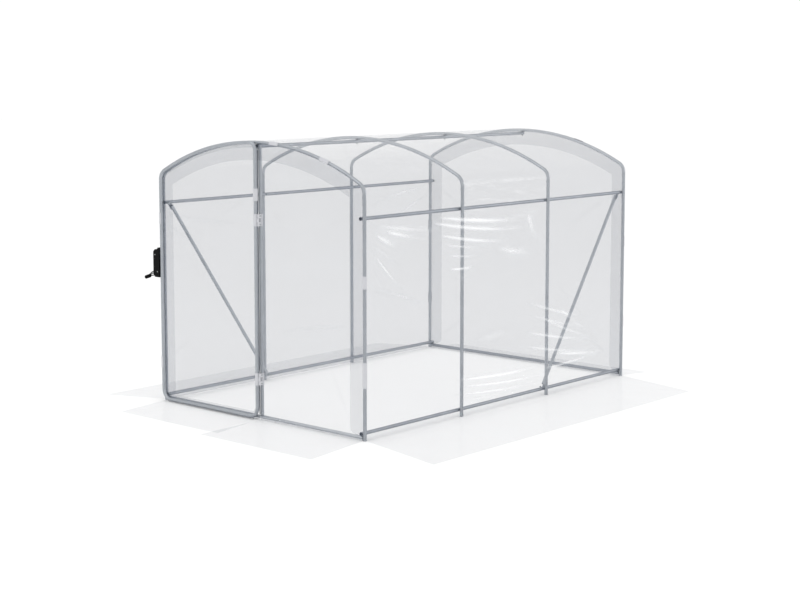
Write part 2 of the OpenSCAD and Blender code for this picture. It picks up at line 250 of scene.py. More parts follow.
def turned(places, axes, profile, around=24):
    """Turned parts: each ring of the profile (radius, height, 1 for a hexagon) stands at place +
    height × axis, with points at radius × (cos, sin) across it. On a hexagon the radius is that of
    the flats divided by the cosine from the middle of each flat."""
    places, axes, profile = np.array(places, float), np.array(axes, float), np.array(profile, float)
    axes = axes / np.linalg.norm(axes, axis=1, keepdims=True)
    other = np.where(np.abs(axes[:, 2:]) > 0.9, [[1.0, 0, 0]], [[0, 0, 1.0]])
    first = np.cross(other, axes)
    first /= np.linalg.norm(first, axis=1, keepdims=True)
    second = np.cross(axes, first)
    angle = np.arange(around) * 2 * np.pi / around
    flat = 1 / np.cos((angle + np.pi / 6) % (np.pi / 3) - np.pi / 6)
    radius = profile[:, 0, None] * np.where(profile[:, 2, None] > 0, flat, 1)
    round_it = np.cos(angle)[:, None] * first[:, None, None] + np.sin(angle)[:, None] * second[:, None, None]
    points = places[:, None, None] + profile[:, 1, None, None] * axes[:, None, None] + radius[..., None] * round_it
    rings = len(profile)
    ring = np.arange(around)
    start = np.arange(len(places)) * rings * around
    sides = (start[:, None, None] + ring_faces(rings, around)).reshape(-1, 4)
    caps = np.concatenate([start[:, None] + ring[::-1], start[:, None] + (rings - 1) * around + ring])
    return points, [sides, caps]


# Zinc-plated steel: smooth and faintly speckled, a shade darker than the tube
zinc_plate, tree, place = new_material("zinc_plated_fixings")
specks = add(tree, "TexNoise", {"Vector": place, "Scale": 600.0, "Detail": 2.0})
finish_with(tree, add(tree, "BsdfPrincipled", {
    "Base Color": two_tone(tree, specks.outputs["Fac"], "8f9596", "c2c5c4"), "Metallic": 1.0, "Roughness": 0.3}))

# Washer, hexagon nut with its chamfer, and the end of the thread
nut = [
    (0.0, 0.0, 0), (0.0065, 0.0, 0), (0.0065, 0.0012, 0),
    (0.005, 0.0012, 1), (0.005, 0.0056, 1), (0.0043, 0.0062, 0),
    (0.003, 0.0062, 0), (0.003, 0.0095, 0), (0.0025, 0.0101, 0), (0.0, 0.0101, 0)]
rails = [("base_rail_left", 1), ("base_rail_right", -1), ("side_rail_left", 1), ("side_rail_right", -1)]
places, axes = [], []
for name, inward in rails:
    low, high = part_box(name)
    for y in hoop_y:
        places.append(((high if inward > 0 else low).x, y, (low.z + high.z) / 2))
        axes.append((inward, 0, 0))
low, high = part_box("ridge_rail")
for y in hoop_y:
    places.append(((low.x + high.x) / 2, y, low.z))
    axes.append((0, 0, -1))
# The two braces are bolted the same way at their ends: the left one rises to the front,
# the right one to the back
for name, inward in (("brace_left", 1), ("brace_right", -1)):
    low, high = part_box(name)
    ends_y = (high.y - tube_r, low.y + tube_r)[::inward]
    for y, z in zip(ends_y, (low.z + tube_r, high.z - tube_r)):
        places.append(((high if inward > 0 else low).x, y, z))
        axes.append((inward, 0, 0))
points, faces = turned(places, axes, nut)
rail_nuts = new_piece("rail_nuts", points, faces, zinc_plate, smooth=False)

# Each leg and arch is a spigot joint, locked by a hexagon-headed screw above and below it
screw = [
    (0.0, -0.001, 0), (0.0052, -0.001, 0), (0.0056, 0.0008, 0),
    (0.0038, 0.0012, 1), (0.0038, 0.0046, 1), (0.0033, 0.0051, 0), (0.0, 0.0051, 0)]
below_joint, above_joint = -0.022, 0.018
places = [
    (middle + side * (half_w - tube_r), y, leg_top + step)
    for side in (-1, 1) for y in hoop_y for step in (below_joint, above_joint)]
axes = [(-1 if x > middle else 1, 0, 0) for x, y, z in places]
points, faces = turned(places, axes, screw)
spigot_screws = new_piece("spigot_screws", points, faces, zinc_plate, smooth=False)


# ---- Clear film -----------------------------------------------------------------------
# The cover, both end sheets and the door's sheet are clear polythene 0.2 mm thick. It
# is faintly blue grey where it overlaps, glossy, and creased where it is pulled.

def clear_film(name, clear, tint, pale):
    """Polythene film: a tint in slow clouds, a bump of long shallow draws with finer crumples, and
    along its creases a painted white highlight, which also lets less through. Film laid on the
    ground lets a little less through."""
    made, tree, place = new_material(name)
    clouds = add(tree, "TexNoise", {"Vector": place, "Scale": 3.0, "Detail": 4.0, "Roughness": 0.55})
    shade = two_tone(tree, clouds.outputs["Fac"], tint, pale, 0.3, 0.7)
    drawn = add(tree, "Mapping", {"Vector": place, "Rotation": (0.6, 0.5, 0.0), "Scale": (2.0, 2.0, 9.0)})
    draws = add(tree, "TexNoise", {
        "Vector": drawn.outputs["Vector"], "Scale": 2.2, "Detail": 3.0, "Distortion": 0.4})
    crumples = add(tree, "TexNoise", {"Vector": place, "Scale": 38.0, "Detail": 2.0})
    relief = add(tree, "Bump", {"Height": draws.outputs["Fac"], "Strength": 0.5, "Distance": 0.02})
    fine = add(tree, "Bump", {
        "Height": crumples.outputs["Fac"], "Strength": 0.12, "Distance": 0.002, "Normal": relief.outputs["Normal"]})
    gloss = add(tree, "MapRange", {
        "Value": clouds.outputs["Fac"], "From Min": 0.3, "From Max": 0.7, "To Min": 0.09, "To Max": 0.17})
    # Where the film creases, its colour goes nearly white and it lets less through: a painted highlight standing in
    # for the light that creases catch
    crease = add(tree, "Attribute", attribute_name="crease")
    painted_highlight_share = add(tree, "MapRange", {"Value": crease.outputs["Fac"], "From Max": 0.5})
    tint_with_painted_highlight = add(tree, "Mix", {
        "Factor": painted_highlight_share.outputs["Result"], "A": shade, "B": linear("f6f8fa")}, data_type="RGBA")
    laid = add(tree, "Attribute", attribute_name="laid")
    plain = add(tree, "MapRange", {
        "Value": laid.outputs["Fac"], "To Min": 1 - clear, "To Max": 1.1 * (1 - clear)})
    opacity_with_painted_highlight = add(tree, "MapRange", {
        "Value": crease.outputs["Fac"], "To Min": plain.outputs["Result"], "To Max": 0.72})
    finish_with(tree, add(tree, "BsdfPrincipled", {
        "Base Color": tint_with_painted_highlight.outputs["Result"], "Roughness": gloss.outputs["Result"], "IOR": 1.5,
        "Alpha": opacity_with_painted_highlight.outputs["Result"], "Normal": fine.outputs["Normal"]}))
    return made


# Clear polythene: one layer lets 82% through, and what it keeps back is a dark blue grey
film = clear_film("clear_polythene", 0.822, "535b6c", "626b7c")


# ---- Cover ----------------------------------------------------------------------------
# One sheet goes from the left ground flap up the left wall, over the arches, down the
# right wall and out into the right flap. At both ends it is turned a quarter round the
# hoop and lies 120 mm over the end sheet, where the clips hold it.

ridge_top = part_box("arch_1")[1].z - tube_r
corner_r, least_r = 0.080, 0.004
corner_x, rise = half_w - corner_r, ridge_top - leg_top
arch_r = (corner_x ** 2 + rise ** 2 - corner_r ** 2) / (2 * (rise - corner_r))
arch_z = ridge_top - arch_r
# The film stands 0.8 mm off the tube, and its walls end 1.2 mm over the ground
film_off, film_foot = tube_r + 0.0008, 0.0012


def hoop_line(inward):
    """x and z along a hoop's outline moved inward, from the right foot over the ridge to the left
    foot. Three kinds of arc meet smoothly: plumb legs at half width - inward (the left one with
    half as many points), corner arcs of corner radius - inward (never under 4 mm), and the ridge
    arc of arch radius - inward."""
    d = np.asarray(inward, float).reshape(-1, 1)
    half, bend, big = half_w - d, np.maximum(corner_r - d, least_r), arch_r - d
    centre_x = half - bend
    centre_z = arch_z + np.sqrt((big - bend) ** 2 - centre_x ** 2)
    turn = np.arctan2(centre_z - arch_z, centre_x)
    up = np.linspace(0, 1, 190, endpoint=False)
    bend_step = np.linspace(0, 1, 9, endpoint=False)
    ridge_step = np.linspace(0, 1, 61)
    leg_x, leg_z = half + 0 * up, film_foot + (centre_z - film_foot) * up
    bend_x = centre_x + bend * np.cos(turn * bend_step)
    bend_z = centre_z + bend * np.sin(turn * bend_step)
    sweep = turn + (np.pi - 2 * turn) * ridge_step
    right_x, right_z = np.hstack([leg_x, bend_x]), np.hstack([leg_z, bend_z])
    x = np.hstack([right_x, big * np.cos(sweep), -right_x[:, ::-2]])
    z = np.hstack([right_z, arch_z + big * np.sin(sweep), right_z[:, ::-2]])
    return x, z


def creases(a, b, places):
    """Single creases over the sheet coordinates a and b. Each place (a, b, angle, length, width,
    depth) starts at a, b and runs at its angle; its depth is depth × exp(-|across/(0.8 width)|^1.6) × a
    swell along it, sin(π t^0.6)^1.5 for t from 0 to 1, and it opens to twice its width at the far
    end."""
    total = 0 * a
    for a0, b0, angle, length, width, depth in places:
        c, s = math.cos(math.radians(angle)), math.sin(math.radians(angle))
        t = np.clip(((a - a0) * c + (b - b0) * s) / length, 0, 1)
        across = (b - b0) * c - (a - a0) * s + 0.02 * length * np.sin(np.pi * t)
        profile = np.exp(-np.abs(across / (0.8 * width * (1 + t))) ** 1.6)
        total = total + depth * profile * np.sin(np.pi * t ** 0.6) ** 1.5
    return total


def slack(a, b, seed):
    """Slow unevenness from -1 to 1: the mean of six sine waves 0.35 to 1.2 m long in seeded directions."""
    draw, waves = np.random.default_rng(seed), 6
    angle, wave = draw.uniform(0, np.pi, waves), draw.uniform(0.35, 1.2, waves)
    start = draw.uniform(0, 2 * np.pi, waves)
    return sum(
        np.sin(2 * np.pi * (a * math.cos(t) + b * math.sin(t)) / w + p)
        for t, w, p in zip(angle, wave, start)) / waves


def mark_film(piece, depth, laid):
    """Keeps two numbers from 0 to 1 for each point of a sheet: how deep its crease is, which the
    film's material also paints as a white highlight, and how far it lies on the ground. The light
    that falls on the floor and the tubes goes through the film unchanged."""
    for name, value in (("crease", depth), ("laid", laid)):
        kept = piece.data.attributes.new(name, "FLOAT", "POINT")
        kept.data.foreach_set("value", np.clip(value, 0, 1).ravel().astype(np.float32))
    piece.visible_diffuse = piece.visible_shadow = False


band = 0.120
front_y, back_y = hoop_y[0], hoop_y[-1]
quarter = np.linspace(0, np.pi / 2, 6)
edge_rows = np.linspace(band, 0, 9)
run = np.linspace(front_y, back_y, 200)
# Rows go from the front's turned edge round the hoop, along the run, and round the back's
inward = np.concatenate([
    edge_rows[:-1], -film_off * np.sin(quarter[:-1]), 0 * run - film_off,
    -film_off * np.sin(quarter[-2::-1]), edge_rows[-2::-1]])
row_y = np.concatenate([
    0 * edge_rows[:-1] + front_y - film_off, front_y - film_off * np.cos(quarter[:-1]), run,
    back_y + film_off * np.cos(quarter[-2::-1]), 0 * edge_rows[-2::-1] + back_y + film_off])
x, z = hoop_line(inward)
# The turned edge stops 35 mm over the ground in a rounded corner, and runs down narrow
tail_z, tail_r, tail_w = 0.035, 0.050, 0.014
rounded = (band - tail_r + tail_r * np.sqrt(1 - (1 - np.clip((z - tail_z) / tail_r, 0, 1)) ** 2)) / band
edge_share = np.where(z < tail_z, tail_w / band, rounded)
in_tail = (inward[:, None] > 0) & (z < tail_z + tail_r)
x = np.where(in_tail, np.sign(x) * (half_w - inward[:, None] * edge_share), x)
y = row_y[:, None] + 0 * x
on_run = (inward <= -film_off + 1e-9)[:, None]
# Where the turned edge lies over the end sheet it stands 1.3 mm off it
lift = 0.0013 * np.clip(inward / 0.02, 0, 1)[:, None]
y = y + np.where(y < 0, -lift, lift)
# Girth is the way along a hoop from the right foot, measured on a row of the run
on_hoop = 20
girth = np.concatenate([[0], np.cumsum(np.hypot(np.diff(x[on_hoop]), np.diff(z[on_hoop])))])[None, :] + 0 * x
bay = (back_y - front_y) / 3
off_hoop = 1 - np.exp(-(((y - front_y + bay / 2) % bay - bay / 2) / 0.10) ** 2)
normal_x, normal_z = np.gradient(z, axis=1), -np.gradient(x, axis=1)
size = np.hypot(normal_x, normal_z) + 1e-12
normal_x, normal_z = normal_x / size, normal_z / size
foot_hold = np.clip(np.minimum(girth, girth[0, -1] - girth) / 0.12, 0, 1)
on_right, on_left = x > half_w * 0.9, x < -half_w * 0.9
# Each crease is (way from the front hoop, height, angle, length, width, depth)
pulled = on_right * creases(y - front_y, z, [
    # From the first leg, just under the side rail
    (0.03, 1.43, -6, 0.95, 0.013, 0.40), (0.04, 1.41, -11, 0.85, 0.011, 0.32),
    (0.05, 1.38, -26, 0.40, 0.014, 0.36), (0.10, 1.36, -20, 0.32, 0.018, 0.24),
    (0.06, 1.30, -31, 0.36, 0.009, 0.32), (0.06, 1.25, -43, 0.50, 0.009, 0.50),
    (0.05, 1.18, -55, 0.34, 0.008, 0.22), (0.20, 1.37, -8, 0.30, 0.024, 0.26),
    # Across the second leg
    (0.70, 1.43, -4, 1.15, 0.013, 0.80), (0.62, 1.40, -6, 1.20, 0.011, 0.85),
    (0.70, 1.31, -7, 0.95, 0.011, 0.72), (0.75, 1.24, -6, 0.60, 0.009, 0.48),
    (0.80, 1.16, -4, 0.45, 0.009, 0.45), (0.84, 1.06, -1, 0.34, 0.007, 0.85),
    (0.88, 0.99, 0, 0.26, 0.007, 0.30), (1.35, 1.17, -9, 0.60, 0.030, 0.40),
    (1.72, 1.42, -62, 0.36, 0.030, 0.38), (1.15, 0.52, 6, 0.50, 0.030, 0.30),
    # Across the third leg, low down
    (1.72, 0.74, -14, 0.95, 0.011, 0.45), (1.76, 0.64, -13, 0.90, 0.010, 0.40),
    (1.70, 0.52, -10, 1.00, 0.010, 0.55), (1.66, 0.42, -9, 1.10, 0.011, 0.50),
    (1.95, 0.58, -18, 0.80, 0.009, 0.45), (2.12, 0.66, -30, 0.60, 0.009, 0.32),
    (2.05, 0.31, -5, 0.80, 0.010, 0.55), (2.15, 0.80, -38, 0.45, 0.009, 0.25),
    # Along the foot of the second and third bays
    (0.92, 0.27, -1, 1.20, 0.010, 0.75), (0.95, 0.22, -2, 1.30, 0.009, 0.65),
    (0.90, 0.17, -2, 1.20, 0.008, 0.60), (0.95, 0.12, -1, 0.90, 0.008, 0.50),
    (1.90, 0.21, 3, 0.90, 0.009, 0.60)])
pulled = pulled + on_left * creases(y - front_y, z, [
    (0.05, 1.30, -30, 0.45, 0.012, 0.22), (0.05, 1.38, -9, 0.90, 0.014, 0.18),
    (2.95, 1.42, 190, 0.80, 0.014, 0.45), (2.95, 1.34, 204, 0.60, 0.012, 0.40),
    (2.90, 0.40, 165, 0.80, 0.014, 0.40), (1.95, 0.30, 176, 0.80, 0.012, 0.30)])
# The same crease depth, kept on the sheet, sets the painted white highlight in the film's material
crease = np.where(on_run, pulled * foot_hold, 0)
# Between the hoops the film hangs in by 2.2 mm, give or take 3 mm of slow unevenness,
# and a crease stands out by up to 1.8 mm
hang_in, uneven, fold = 0.0022, 0.0030, 0.0018
belly = off_hoop * (uneven * slack(y, girth, 11) - hang_in) * foot_hold + fold * off_hoop * crease
belly = np.where(on_run, belly, 0)
x, z = x + normal_x * belly, z + normal_z * belly
body_points = np.stack([x + middle, y, z], axis=-1)
rows, columns = x.shape

# The flaps leave the foot of each wall along the run between the end hoops
first, last = np.flatnonzero(on_run[:, 0])[[0, -1]]
foot_rows = np.arange(first, last + 1)
parts_points, parts_faces = [body_points.reshape(-1, 3)], [grid_faces(rows, columns)[:, ::-1]]
used = rows * columns
# Columns of a flap in thousandths of its width, close together where it turns out
out = np.concatenate([[0.25, 0.6, 1.2, 2.2, 4, 7], np.linspace(12, 1000, 25)]) / 1000
share = out[None, :]
for side, node, column in ((1, "flap_right_side", 0), (-1, "flap_left_side", columns - 1)):
    low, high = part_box(node)
    edge = side * ((high.x if side > 0 else low.x) - middle)
    skew = front_y - low.y
    start_x = side * (body_points[foot_rows, column, 0] - middle)[:, None]
    flap_x = start_x + (edge - start_x) * share
    flap_y = body_points[foot_rows, column, 1][:, None] - skew * share + 0 * flap_x
    ripple = slack(flap_y, flap_x, 5 + side) + 0.5 * slack(3 * flap_y, 2 * flap_x, 17 + side)
    flap_z = 0.0006 + 0.0022 * np.clip(share / 0.1, 0, 1) * (0.5 + 0.5 * ripple) * (1 - 0.6 * share)
    flap = np.stack([side * flap_x + middle, flap_y, np.minimum(flap_z, 0.004)], axis=-1)
    parts_points.append(flap.reshape(-1, 3))
    wide = flap.shape[1]
    inner = foot_rows * columns + column
    outer = used + np.arange(len(foot_rows)) * wide
    joint = np.stack([inner[:-1], inner[1:], outer[1:], outer[:-1]], axis=1)
    sheet = grid_faces(len(foot_rows), wide, used)
    parts_faces += [joint[:, ::-1], sheet] if side > 0 else [joint, sheet[:, ::-1]]
    used += len(foot_rows) * wide
cover = new_piece("cover", np.concatenate(parts_points), np.concatenate(parts_faces), film)
on_ground = np.arange(used) >= rows * columns
mark_film(cover, np.append(crease.ravel(), np.zeros(used - rows * columns)), on_ground)
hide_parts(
    "wall_film_left", "wall_film_right", "roof_film", "cover_edge_front", "cover_edge_back",
    "flap_left_side", "flap_right_side")


# ---- End sheets -----------------------------------------------------------------------
# The fixed half of the door end and the whole back end are flat sheets, taken under the
# cover's turned edge, over the ground bar and out along the ground as a flap.

def hoop_height(x):
    """Height of the hoop's centre line above x: the ridge arc, and past its end the corner arc."""
    centre_z = arch_z + math.sqrt((arch_r - corner_r) ** 2 - corner_x ** 2)
    turn = math.atan2(centre_z - arch_z, corner_x)
    over = np.abs(x) > arch_r * math.cos(turn)
    corner = centre_z + np.sqrt(np.maximum(corner_r ** 2 - np.maximum(np.abs(x) - corner_x, 0) ** 2, 0))
    return np.where(over, corner, arch_z + np.sqrt(arch_r ** 2 - x ** 2))


sheet_foot = 0.0014


def end_sheet(name, columns_x, plane, outward, flap_depth, shift_near, shift_far, seed, places):
    """A sheet in a plane across the tunnel: column x rises from the floor to the hoop. Below its
    foot it turns onto the ground and runs outward, shifting sideways in step with its depth, by a
    share that goes from near to far across it."""
    up = np.concatenate([[0.0, 0.0015, 0.004, 0.008], np.linspace(0.016, 1, 96)])
    x = columns_x[None, :] + 0 * up[:, None]
    top = hoop_height(columns_x)[None, :]
    z = sheet_foot + (top - sheet_foot) * up[:, None]
    # Creases and slack die out towards the sheet's edges
    edge = np.clip(np.minimum((columns_x - columns_x[0]) / 0.1, (columns_x[-1] - columns_x) / 0.12), 0, 1)[None, :]
    edge = edge * np.clip(np.minimum(z / 0.1, (top - z) / 0.1), 0, 1)
    crease = edge * creases(x, z, places)
    bulge = edge * 0.0028 * slack(x, z, seed) + 0.002 * crease
    wall = np.stack([x + middle, plane + outward * bulge, z], axis=-1)
    out = np.concatenate([[1.0], np.linspace(0.975, 0, 34), [-0.004]])[:, None]
    across = (columns_x - columns_x[0]) / (columns_x[-1] - columns_x[0])
    depth = np.clip(out, 0, 1) * flap_depth
    gx = columns_x[None, :] + out * (shift_near + (shift_far - shift_near) * across[None, :])
    ripple = slack(gx, depth + 0 * gx, seed + 1)
    gz = 0.0006 + 0.002 * np.clip(out / 0.1, 0, 1) * (0.5 + 0.5 * ripple)
    ground = np.stack([gx + middle, plane + outward * (depth + 0.0015 + 0 * gx), gz], axis=-1)[:-1]
    points = np.concatenate([ground, wall])
    faces = grid_faces(len(points), len(columns_x))
    piece = new_piece(name, points, faces if outward < 0 else faces[:, ::-1], film)
    on_ground = np.arange(len(points))[:, None] < len(ground) + 0 * points[..., 0]
    mark_film(piece, np.concatenate([0 * ground[..., 0], crease]), on_ground)
    return piece


post_low, post_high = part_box("centre_post")
post_x = (post_low.x + post_high.x) / 2 - middle
near_corner = half_w - 0.006 - np.geomspace(0.0005, 0.1, 12)[::-1]
front_plane, back_plane, flap_room = front_y - film_off, back_y + film_off, 0.002
flap_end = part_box("flap_front_fixed")[0].y
columns_x = np.concatenate([np.linspace(post_x, near_corner[0], 58)[:-1], near_corner])
fixed_end_sheet = end_sheet(
    "fixed_end_sheet", columns_x, front_plane, -1, front_plane - flap_end - flap_room, 0.020, 0.095, 31, [
        (0.05, 1.62, -48, 0.60, 0.014, 0.07), (0.88, 0.10, 118, 0.50, 0.014, 0.10),
        (0.90, 1.50, 208, 0.40, 0.012, 0.07)])
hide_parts("gable_film_front", "flap_front_fixed")

flap_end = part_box("flap_back_end")[1].y
between = np.linspace(-near_corner[0], near_corner[0], 110)[1:-1]
columns_x = np.concatenate([-near_corner[::-1], between, near_corner])
back_end_sheet = end_sheet(
    "back_end_sheet", columns_x, back_plane, 1, flap_end - back_plane - flap_room, 0.095, 0.095, 47, [
        (-0.95, 1.45, -32, 0.70, 0.014, 0.14), (0.95, 1.48, 214, 0.60, 0.014, 0.14),
        (0.92, 0.12, 152, 0.70, 0.014, 0.16), (-0.92, 0.10, 34, 0.60, 0.012, 0.12)])
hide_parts("gable_film_back", "flap_back_end")


# ---- Door sheet -----------------------------------------------------------------------
# The door leaf is one tube bent round, with a sheet of the same film drawn over its
# front, turned round the tube and held by snap clips.

door_low, door_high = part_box("door_frame")
door_y = (door_low.y + door_high.y) / 2
door_right, door_left = door_high.x - tube_r - middle, door_low.x + tube_r - middle
door_foot = door_low.z + tube_r
foot_r, top_r = 0.070, 0.050


def leaf_line(inward):
    """x and z round the leaf's tube, moved inward: plumb uprights, a level bottom bar, the hoop's
    ridge arc for the top bar, and a corner arc tangent to its neighbours at each corner, of its own
    radius - inward (never under 4 mm)."""
    d = np.asarray(inward, float).reshape(-1, 1)
    right, left, foot, big = door_right - d, door_left + d, door_foot + d, arch_r - d
    low_r, right_r, left_r = (np.maximum(r - d, least_r) for r in (foot_r, top_r, corner_r))
    right_cx, left_cx = right - right_r, left + left_r
    right_cz = arch_z + np.sqrt((big - right_r) ** 2 - right_cx ** 2)
    left_cz = arch_z + np.sqrt((big - left_r) ** 2 - left_cx ** 2)
    right_turn = np.arctan2(right_cz - arch_z, right_cx)
    left_turn = np.arctan2(left_cz - arch_z, left_cx)
    long, short, bar, top = (np.linspace(0, 1, count, endpoint=False) for count in (84, 9, 46, 50))
    foot_z = foot + low_r

    def arc(cx, cz, r, start, end, steps):
        angle = start + (end - start) * steps
        return cx + r * np.cos(angle), cz + r * np.sin(angle)

    runs = [
        (right + 0 * long, foot_z + (right_cz - foot_z) * long),
        arc(right_cx, right_cz, right_r, 0 * d, right_turn, short),
        arc(0 * d, arch_z, big, right_turn, left_turn, top),
        arc(left_cx, left_cz, left_r, left_turn, np.pi + 0 * d, short),
        (left + 0 * long, left_cz + (foot_z - left_cz) * long),
        arc(left + low_r, foot_z, low_r, np.pi + 0 * d, 1.5 * np.pi + 0 * d, short),
        (left + low_r + (right - left - 2 * low_r) * bar, foot + 0 * bar),
        arc(right - low_r, foot_z, low_r, 1.5 * np.pi + 0 * d, 2 * np.pi + 0 * d, short),
    ]
    return np.hstack([r[0] for r in runs]), np.hstack([r[1] for r in runs])


half_leaf = (door_right - door_left) / 2
turn = np.linspace(0, np.pi, 13)
# Rows go from the middle of the leaf out to its tube, round that, and 35 mm in behind it
tube_side = 0.012
front_in, back_in = np.linspace(half_leaf - 0.0005, tube_side, 34), np.linspace(0.004, 0.035, 4)
depth = np.concatenate([front_in, -film_off * np.sin(turn), back_in])
leaf_y = np.concatenate([0 * front_in - film_off, -film_off * np.cos(turn), 0 * back_in + film_off])
x, z = leaf_line(depth)
y = door_y + leaf_y[:, None] + 0 * x
flat_part = np.clip((depth - tube_side) / 0.1, 0, 1)[:, None]
crease = flat_part * creases(x, z, [
    (-0.96, 1.35, 38, 0.40, 0.012, 0.14), (-0.96, 1.35, -28, 0.40, 0.012, 0.12),
    (-0.96, 0.30, 35, 0.45, 0.012, 0.14), (-0.02, 1.55, 205, 0.45, 0.012, 0.12)])
y = y - flat_part * 0.0026 * slack(x, z, 61) - 0.002 * crease
points = np.stack([x + middle, y, z], axis=-1)
door_sheet = new_piece("door_sheet", points, ring_faces(*x.shape)[:, ::-1], film, body="door")
mark_film(door_sheet, crease, 0 * crease)
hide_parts("door_film")


# ---- Door flap ------------------------------------------------------------------------
# A loose strip of film lies on the ground before the door. Its inner edge is turned up
# over the ground bar and back down inside.

flap_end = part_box("flap_front_door")[0].y
bar_low, bar_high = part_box("ground_bar_front")
bar_z, bar_y = (bar_low.z + bar_high.z) / 2, (bar_low.y + bar_high.y) / 2
over = np.linspace(-0.25 * np.pi, np.pi, 16)
edge_y = bar_y + film_off * np.cos(over)
edge_z = bar_z + film_off * np.sin(over)
down_z = np.linspace(bar_z - 0.002, film_foot, 4)
bar_face = bar_y - film_off
ground_y = np.linspace(bar_face - 0.001, flap_end + 0.004, 34)
row_y = np.concatenate([edge_y, 0 * down_z + bar_y - film_off, ground_y])
row_z = np.concatenate([edge_z, down_z, 0 * ground_y + 0.0009])
share = np.clip((bar_face - row_y) / (bar_face - flap_end), 0, 1)[:, None]
across = np.linspace(0, 1, 74)[None, :]
# Its sides clear the leg and the post, and both slant to the right, as the fixed flap's do
side_room = 0.0145
left, right = -half_w + side_room + 0.081 * share, post_x - side_room + 0.110 * share
x = left + (right - left) * across
y = row_y[:, None] + 0 * x
ripple = slack(x, 2 * y, 71) + 0.4 * slack(3 * x, 3 * y, 72)
z = row_z[:, None] + share * 0.0045 * np.clip(share / 0.2, 0, 1) * (0.6 + 0.4 * ripple)
# Its right edge lies over the next flap, and is lifted by it
z = z + 0.0026 * np.clip(share / 0.1, 0, 1) * np.clip((x - post_x + 0.02) / 0.03, 0, 1)
door_flap = new_piece("door_flap", np.stack([x + middle, y, z], axis=-1), grid_faces(*x.shape), film)
mark_film(door_flap, 0 * x, 1 + 0 * x)
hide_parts("flap_front_door")


# ---- Snap clips -----------------------------------------------------------------------
# Ribbed clips of pale grey plastic, 85 mm long, are pressed over film and tube together.

# Moulded polypropylene: pale grey and satin, faintly mottled where it flowed
clip_plastic, tree, place = new_material("pale_grey_clip_plastic")
speckle = add(tree, "TexNoise", {"Vector": place, "Scale": 160.0, "Detail": 3.0})
relief = add(tree, "Bump", {"Height": speckle.outputs["Fac"], "Strength": 0.15, "Distance": 0.0004})
finish_with(tree, add(tree, "BsdfPrincipled", {
    "Base Color": two_tone(tree, speckle.outputs["Fac"], "bcbdc2", "d0d1d5"),
    "Roughness": 0.42, "Normal": relief.outputs["Normal"]}))


def snap_clips(centres, outward, cross, wrap):
    """Clips along tube lines: at each step of a clip's length its section is a C about the tube,
    from -wrap to wrap round the outward direction. The outer radius is the tube's + 3.4 mm,
    swelling 1 mm at each of seven ribs and drawn in at both ends; the inner radius stays on the
    film. The lips turn out."""
    centres, outward, cross = (np.asarray(v, float) for v in (centres, outward, cross))
    steps = centres.shape[1]
    s = np.linspace(0, 1, steps)
    rib_count, rounding = 7, 0.03
    ribs = 0.5 + 0.5 * np.cos(2 * np.pi * rib_count * s)
    round_off = 1 - np.clip((rounding - np.minimum(s, 1 - s)) / rounding, 0, 1) ** 2
    theta = np.linspace(-wrap, wrap, 25)
    lip_turn, lip_out = 0.22, 0.0012
    lip = np.clip((np.abs(theta) - wrap + lip_turn) / lip_turn, 0, 1) ** 2
    swell = (0.0010 * ribs[:, None] + 0.0012 * round_off[:, None]) * (1 - 0.4 * lip)
    outer = tube_r + 0.0022 + swell + lip_out * lip
    inner = tube_r + 0.0009 + 0 * outer + lip_out * lip
    radius = np.hstack([outer, inner[:, ::-1]])
    angle = np.concatenate([theta, theta[::-1]])
    round_it = np.cos(angle)[:, None] * outward[:, :, None] + np.sin(angle)[:, None] * cross[:, :, None]
    points = centres[:, :, None] + radius[None, ..., None] * round_it
    around = len(angle)
    half = np.arange(around // 2 - 1)
    end = np.stack([half, around - 1 - half, around - 2 - half, half + 1], axis=1)
    one = np.concatenate([ring_faces(steps, around), end, (steps - 1) * around + end[:, ::-1]])
    start = np.arange(len(centres))[:, None, None] * steps * around
    return points, (start + one).reshape(-1, 4)


clip_l = 0.085
along = np.linspace(-clip_l / 2, clip_l / 2, 57)


def upright_clips(places, angle):
    """Centre lines, outward and cross directions of clips on plumb tubes, whose middles face the
    angle round from +X."""
    x, y, z = np.array(places, float).T[..., None]
    centres = np.stack([x + 0 * along, y + 0 * along, z + along], axis=-1)
    a = np.broadcast_to(np.radians(float(angle)), centres.shape[:2])
    outward = np.stack([np.cos(a), np.sin(a), 0 * a], axis=-1)
    return centres, outward, np.stack([-np.sin(a), np.cos(a), 0 * a], axis=-1)


def arch_clips(places, y, toward):
    """The same for clips on a ridge arc: the clip's middle faces halfway between straight out from
    the arc and along the tunnel."""
    middle_angle = np.arccos(np.array(places, float)[:, None] / arch_r)
    a = middle_angle + along / arch_r
    out = np.stack([np.cos(a), 0 * a, np.sin(a)], axis=-1)
    centres = arch_r * out + [middle, y, arch_z]
    face = np.array([0, toward, 0.0]) + 0 * out
    return centres, (out + face) / math.sqrt(2), (face - out) / math.sqrt(2)


def joined(*sets):
    """Sets of clips end to end: all centre lines, all outward directions and all cross directions."""
    return [np.concatenate(group) for group in zip(*sets)]


